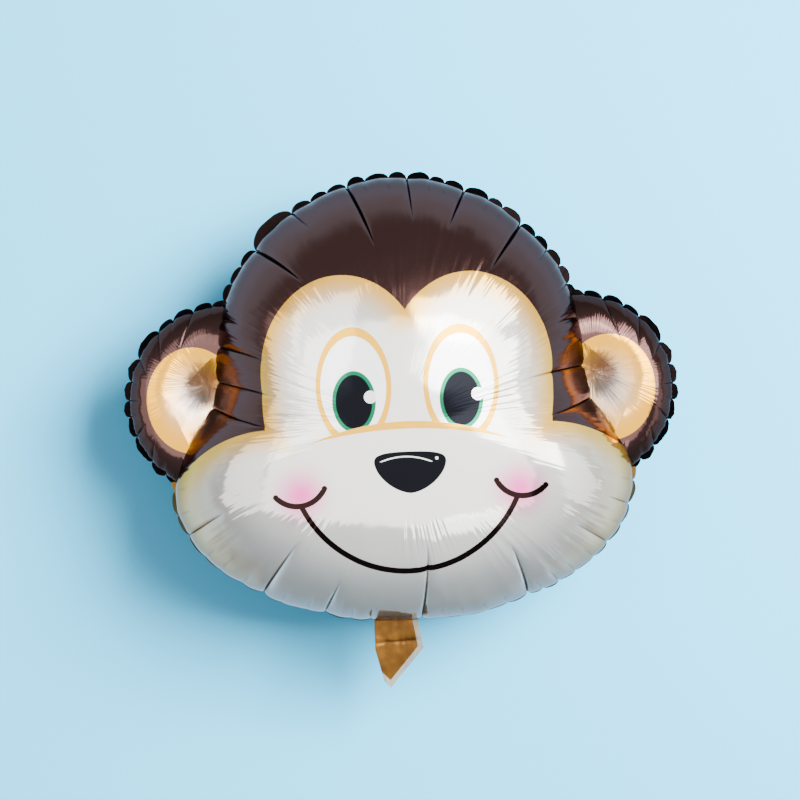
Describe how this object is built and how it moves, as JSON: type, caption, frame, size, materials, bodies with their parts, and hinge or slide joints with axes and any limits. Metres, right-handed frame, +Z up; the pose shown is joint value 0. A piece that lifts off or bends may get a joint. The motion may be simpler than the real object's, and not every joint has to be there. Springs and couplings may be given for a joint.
{
  "type": "monkey foil balloon",
  "caption": "Inflated foil party balloon in the shape of a cartoon monkey's head with round ears, lying face up, with a welded seam round its edge and a film filling valve below the chin.",
  "frame": {"origin": "centre of the flat resting spot on the balloon's back, on the surface that it lies on", "axes": "+X to the right seen from above, +Y from the chin to the crown, +Z up through the printed face"},
  "size_m": [0.5088, 0.4731, 0.223],
  "materials": {
    "printed_foil": "printed metallised film, satin",
    "valve_film": "thin film, glossy"
  },
  "bodies": {
    "root": {"foil_envelope": "printed_foil", "filling_valve": "valve_film"}
  },
  "joints": []
}
